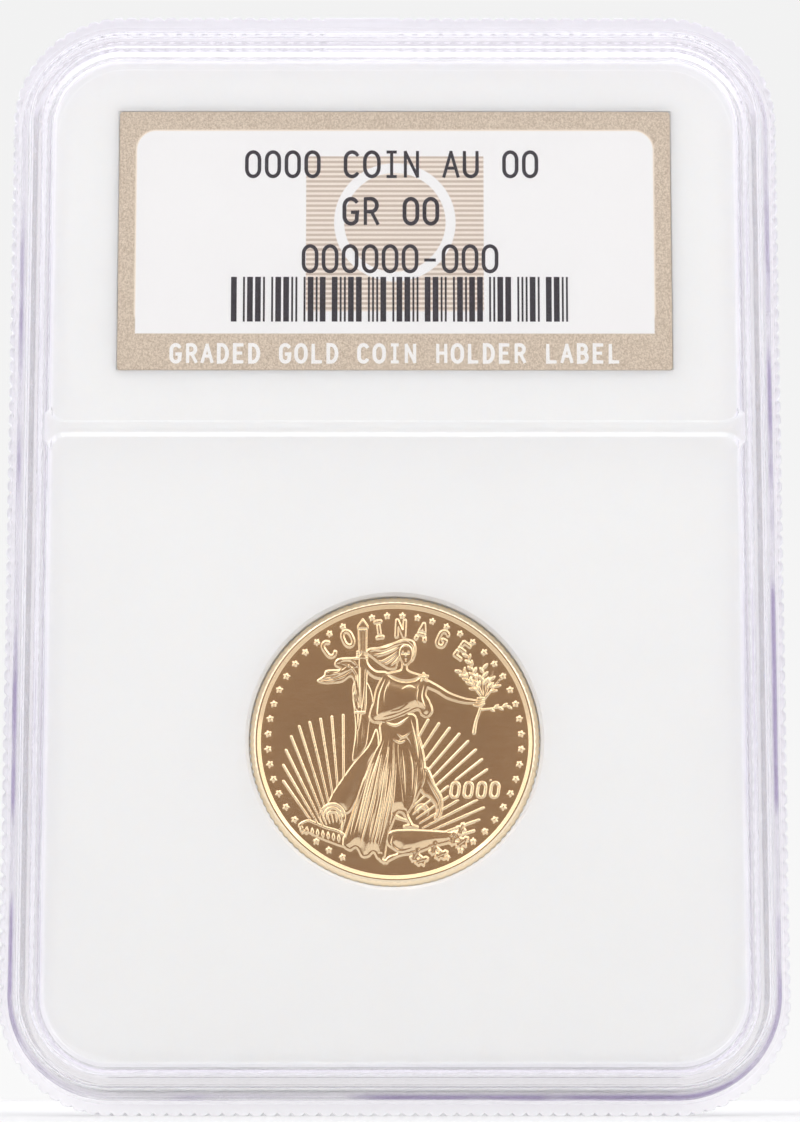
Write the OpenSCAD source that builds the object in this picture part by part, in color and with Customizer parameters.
// Graded coin slab: two clear welded half shells round a white core,
// which grips a coin below a printed label.
// Frame: X to the right, +Y to the back, +Z up. The origin is under the
// middle of the bottom edge, and the front window faces -Y.

/* [Holder] */
// Overall width of the holder
slab_w = 59; // [44:0.5:80]
// Overall height of the holder
slab_h = 84.4; // [68:0.1:120]
// Overall thickness over both raised rims
slab_t = 8; // [6.6:0.1:12]
// Corner radius of the rim's foot
foot_r = 7.8; // [5:0.1:12]
// Distance from the toothed side edges to the rim's foot
flange_side = 0.7; // [0.6:0.1:4]
// Distance from the toothed top and bottom edges to the rim's foot
flange_end = 1.2; // [0.6:0.1:4]
// Thickness of one half of the toothed flange
flange_t = 2.2; // [1.8:0.1:2.8]

/* [Rim and window] */
// Width of the raised rim, from its foot to the window
rim_w = 2.7; // [2.4:0.1:5]
// Width of the flat top of the rim
rim_flat = 0.85; // [0.4:0.05:1.2]
// Width of the slope between the rim's flat top and the window
rim_slope = 0.95; // [0.6:0.05:1.2]
// Height of the rim above the window
rim_rise = 1; // [0.6:0.05:1.4]
// Thickness of the window pane
pane_t = 1.4; // [1.1:0.1:2]
// Fillet radius of the rim's edges
rim_fillet = 0.25; // [0.1:0.05:0.3]
// Distance from the top of the window to the middle of the divider bar
label_bay = 28.8; // [24:0.1:40]
// Width of the divider bar
bar_w = 1.3; // [0.8:0.1:3]
// Height of the divider bar above the window
bar_h = 0.55; // [0.3:0.05:0.8]
// Spread of the divider bar where it meets the rim
bar_flare = 1.1; // [0.5:0.1:2]

/* [Edge teeth and weld] */
// Spacing of the grip teeth along the edge
tooth_pitch = 1.04; // [0.8:0.02:2]
// Depth of the grooves between the teeth
tooth_depth = 0.35; // [0.1:0.05:0.5]
// Length of the smooth moulding gate land in the top edge
gate_l = 5.6; // [0:0.1:12]
// Distance of the gate land to the left of the middle
gate_x = 2.6; // [0:0.1:8]
// Width of the open seam line between the two flanges
seam_gap = 0.2; // [0.1:0.05:0.4]
// Depth of the open seam line from the edge
seam_depth = 0.8; // [0.6:0.05:0.9]
// Wall between the rim's foot and the cavity
wall = 1.6; // [1.4:0.1:2.2]
// Width of the weld tongue
tongue_w = 0.45; // [0.3:0.05:0.5]
// Height of the weld tongue
tongue_h = 0.45; // [0.3:0.05:0.8]
// Clearance round the weld tongue
tongue_gap = 0.05; // [0.02:0.01:0.08]

/* [Core, label and coin] */
// Clearance round the core in the cavity
core_gap = 0.1; // [0.05:0.05:0.3]
// Clearance between the core's faces and the panes
core_play = 0.05; // [0.02:0.01:0.1]
// Diameter of the coin
coin_d = 22; // [16:0.1:30]
// Thickness of the coin over its rims
coin_t = 1.83; // [1:0.01:2.2]
// Width of the coin's rim
coin_rim = 0.9; // [0.5:0.05:1.5]
// Depth of the coin's fields below its rims
field_d = 0.2; // [0.05:0.01:0.3]
// Number of reeds round the coin's edge
reeds = 120; // [60:1:180]
// Depth of the grooves between the reeds
reed_depth = 0.09; // [0.04:0.01:0.15]
// Clearance round the coin in the core
coin_gap = 0.03; // [0.01:0.01:0.1]
// Width of the lead-in bevel round the coin hole
coin_bevel = 0.25; // [0.1:0.05:0.4]
// Height of the coin's centre above the middle of its bay
coin_lift = 0.5; // [-3:0.1:3]
// Height of the labels
label_h = 20.4; // [14:0.1:20.8]
// Distance from the window's side to the label
label_side = 4.8; // [2:0.1:8]
// Height of the labels' centre above the middle of their bay
label_lift = 0.25; // [-1:0.05:1]
// Thickness of the front label card
card_t = 0.25; // [0.1:0.05:0.3]
// Thickness of the rear label foil
foil_t = 0.12; // [0.05:0.01:0.3]
// Depth of the label recesses in the core
recess_d = 0.32; // [0.3:0.01:0.4]
// Clearance round the labels in their recesses
label_gap = 0.05; // [0.05:0.05:0.4]
// Corner radius of the labels
label_r = 0.25; // [0.1:0.05:1]

/* [Hidden] */
$fn = 96;
join = 0.3;                      // how far joined solids run into each other
arc_steps = 5;                   // steps in a rim fillet
half_t = slab_t / 2;
pane_top = half_t - rim_rise;    // outer face of a pane
pane_in = pane_top - pane_t;     // inner face of a pane
foot_w = slab_w - 2 * flange_side;
foot_h = slab_h - 2 * flange_end;
window_w = foot_w - 2 * rim_w;
window_h = foot_h - 2 * rim_w;
window_r = foot_r - rim_w;
window_top = slab_h / 2 + window_h / 2;
window_base = slab_h / 2 - window_h / 2;
edge_r = foot_r + min(flange_side, flange_end);
cavity_w = foot_w - 2 * wall;
cavity_h = foot_h - 2 * wall;
cavity_r = foot_r - wall;
weld_land = wall + min(flange_side, flange_end) - seam_depth;
tongue_out = (weld_land + tongue_w) / 2;  // outer side of the tongue from the cavity
core_w = cavity_w - 2 * core_gap;
core_h = cavity_h - 2 * core_gap;
core_r = cavity_r - core_gap;
core_t = 2 * (pane_in - core_play);
bar_z = window_top - label_bay;
label_w = window_w - 2 * label_side;
label_z = (window_top + bar_z + bar_w / 2) / 2 + label_lift;
coin_z = (window_base + bar_z - bar_w / 2) / 2 + coin_lift;

// Unit vector along v
function unit(v) = v / norm(v);

// Points of a round corner of radius r at b, between a and c
function round_corner(a, b, c, r) =
    let (u = unit(a - b), w = unit(c - b), half = acos(u * w) / 2,
         centre = b + unit(u + w) * r / sin(half),
         from = b + u * r / tan(half) - centre, to = b + w * r / tan(half) - centre)
    [for (i = [0:arc_steps]) centre + r * unit(from * (1 - i / arc_steps) + to * i / arc_steps)];

// One grip tooth as [share of the pitch, share of the depth]
TOOTH = [[0, 1], [0.1, 0.8], [0.26, 0], [0.74, 0], [0.9, 0.8]];

// An odd number of teeth along a length, so that a tooth is in its middle
function teeth(length) = 2 * round((length / tooth_pitch - 1) / 2) + 1;

// Share of the groove depth at x: none on the gate land
function open_at(x, gated) = gated && abs(x + gate_x) < gate_l / 2 ? 0 : 1;

// Toothed straight edge from p to q, whose grooves go in along inward
function edge_points(p, q, inward, gated = false) =
    let (n = teeth(norm(q - p)))
    [for (i = [0:n - 1], s = TOOTH)
        let (at = p + (q - p) * (i + s[0]) / n)
        at + inward * tooth_depth * s[1] * open_at(at[0], gated)];

// Toothed quarter circle about centre, starting at angle start
function corner_points(centre, start) =
    let (n = round(edge_r * PI / 2 / tooth_pitch))
    [for (i = [0:n - 1], s = TOOTH)
        let (a = start + 90 * (i + s[0]) / n)
        centre + (edge_r - tooth_depth * s[1]) * [cos(a), sin(a)]];

// Outline of the toothed flange, centred on the holder
module flange_outline() {
    x = slab_w / 2;
    y = slab_h / 2;
    cx = x - edge_r;
    cy = y - edge_r;
    polygon(concat(
        edge_points([-cx, -y], [cx, -y], [0, 1]),
        corner_points([cx, -cy], -90),
        edge_points([x, -cy], [x, cy], [-1, 0]),
        corner_points([cx, cy], 0),
        edge_points([cx, y], [-cx, y], [0, -1], true),
        corner_points([-cx, cy], 90),
        edge_points([-x, cy], [-x, -cy], [1, 0]),
        corner_points([-cx, -cy], 180)));
}

// Rectangle with round corners, centred
module round_rect(w, h, r) {
    square([w - 2 * r, h], center = true);
    square([w, h - 2 * r], center = true);
    for (x = [-1, 1], y = [-1, 1])
        translate([x * (w / 2 - r), y * (h / 2 - r)]) circle(r);
}

// Plate with round corners from height z0 to z1
module plate(w, h, r, z0, z1) {
    translate([0, 0, z0]) linear_extrude(z1 - z0) round_rect(w, h, r);
}

// Closed band of width t inside a rounded rectangle, from z0 to z1
module band(w, h, r, t, z0, z1) {
    translate([0, 0, z0]) linear_extrude(z1 - z0) difference() {
        round_rect(w, h, r);
        round_rect(w - 2 * t, h - 2 * t, r - t);
    }
}

// Section of the raised rim: x outward from the window's edge, y up
module rim_section() {
    slope_in = [rim_slope, half_t];
    slope_out = [rim_slope + rim_flat, half_t];
    polygon(concat(
        [[-join, pane_top - join], [-join, pane_top]],
        round_corner([-join, pane_top], [0, pane_top], slope_in, rim_fillet),
        round_corner([0, pane_top], slope_in, slope_out, rim_fillet),
        round_corner(slope_in, slope_out, [rim_w, flange_t], rim_fillet),
        [[rim_w, flange_t], [rim_w, flange_t - join], [rim_slope, flange_t - join]]));
}

// One side of the rim, length long, whose window edge is at x = 0
module rim_run(length) {
    rotate([90, 0, 0]) translate([0, 0, -length / 2]) linear_extrude(length) rim_section();
}

// Raised rim round the window
module rim() {
    side = window_h - 2 * window_r;
    end = window_w - 2 * window_r;
    for (turn = [0, 180]) rotate(turn) {
        translate([window_w / 2, 0]) rim_run(side);
        translate([0, window_h / 2]) rotate(90) rim_run(end);
        translate([window_w / 2 - window_r, window_h / 2 - window_r])
            rotate_extrude(angle = 90) translate([window_r, 0]) rim_section();
        translate([window_r - window_w / 2, window_h / 2 - window_r]) rotate(90)
            rotate_extrude(angle = 90) translate([window_r, 0]) rim_section();
    }
}

// Half shell lying on its seam: z is 0 at the seam and half_t on the rim
module half_shell() {
    difference() {
        union() {
            linear_extrude(flange_t) flange_outline();
            plate(window_w + 2 * join, window_h + 2 * join, window_r + join, flange_t - join, pane_top);
            rim();
        }
        plate(cavity_w, cavity_h, cavity_r, -join, pane_in);
        difference() {
            translate([0, 0, -join])
                cube([2 * slab_w, 2 * slab_h, 2 * (join + seam_gap / 2)], center = true);
            plate(slab_w - 2 * seam_depth, slab_h - 2 * seam_depth, edge_r - seam_depth, -3 * join, join);
        }
    }
}

// Stands a flat piece up: its z becomes the distance in front of the seam
module stand() {
    translate([0, 0, slab_h / 2]) rotate([90, 0, 0]) children();
}

// Divider bar across the window, with flared ends
module divider_bar() {
    y = bar_z - slab_h / 2;
    reach = window_w / 2 + rim_slope / 2;
    flare_x = window_w / 2 - bar_flare;
    translate([0, y, pane_top - join])
        linear_extrude(join + bar_h) {
            square([2 * reach, bar_w], center = true);
            for (side = [-1, 1])
                polygon([[side * flare_x, bar_w / 2], [side * reach, bar_w / 2 + bar_flare],
                         [side * reach, -bar_w / 2 - bar_flare], [side * flare_x, -bar_w / 2]]);
        }
}

// Weld tongue, or its groove when grown by the clearance
module weld_tongue(grow) {
    out = tongue_out + grow;
    band(cavity_w + 2 * out, cavity_h + 2 * out, cavity_r + out, tongue_w + 2 * grow,
         -tongue_h - grow, grow > 0 ? join : join / 2);
}

module front_shell() {
    color([0.9, 0.88, 0.96, 0.35]) stand() {
        half_shell();
        divider_bar();
        weld_tongue(0);
    }
}

module rear_shell() {
    color([0.88, 0.86, 0.95, 0.35]) mirror([0, 1, 0]) stand() difference() {
        half_shell();
        mirror([0, 0, 1]) weld_tongue(tongue_gap);
    }
}

// Recess for a label in the face of the core that side points to
module label_recess(side) {
    z = core_t / 2 - recess_d / 2 + join / 2;
    translate([0, label_z - slab_h / 2, side * z])
        cube([label_w + 2 * label_gap, label_h + 2 * label_gap, recess_d + join], center = true);
}

// Section of the coin hole: a straight bore with a bevel at both faces
module coin_hole_section() {
    r = coin_d / 2 + coin_gap;
    z = core_t / 2;
    polygon([[0, -z - join], [r + coin_bevel + join, -z - join], [r, -z + coin_bevel],
             [r, z - coin_bevel], [r + coin_bevel + join, z + join], [0, z + join]]);
}

// White core that holds the coin and the labels
module core() {
    color("white") stand() difference() {
        plate(core_w, core_h, core_r, -core_t / 2, core_t / 2);
        for (side = [-1, 1]) label_recess(side);
        translate([0, coin_z - slab_h / 2, 0]) rotate_extrude() coin_hole_section();
    }
}

// Coin with raised rims, sunk fields and a reeded edge
module coin() {
    r = coin_d / 2;
    color("goldenrod") translate([0, 0, coin_z]) rotate([90, 0, 0]) difference() {
        linear_extrude(coin_t, center = true)
            polygon([for (i = [0:reeds - 1], s = [[0, 1], [0.2, 0], [0.55, 0], [0.75, 1]])
                let (a = 360 * (i + s[0]) / reeds) (r - reed_depth * s[1]) * [cos(a), sin(a)]]);
        for (side = [-1, 1])
            translate([0, 0, side * coin_t / 2])
                cylinder(h = 2 * field_d, r = r - coin_rim, center = true);
    }
}

// Label lying in its recess on the side that faces side, t thick
module label(side, t) {
    floor_z = core_t / 2 - recess_d;
    stand() translate([0, label_z - slab_h / 2, side > 0 ? floor_z : -floor_z - t])
        linear_extrude(t) round_rect(label_w, label_h, label_r);
}

module front_label() {
    color("tan") label(1, card_t);
}

module rear_label() {
    color("silver") label(-1, foil_t);
}

front_shell();
rear_shell();
core();
coin();
front_label();
rear_label();
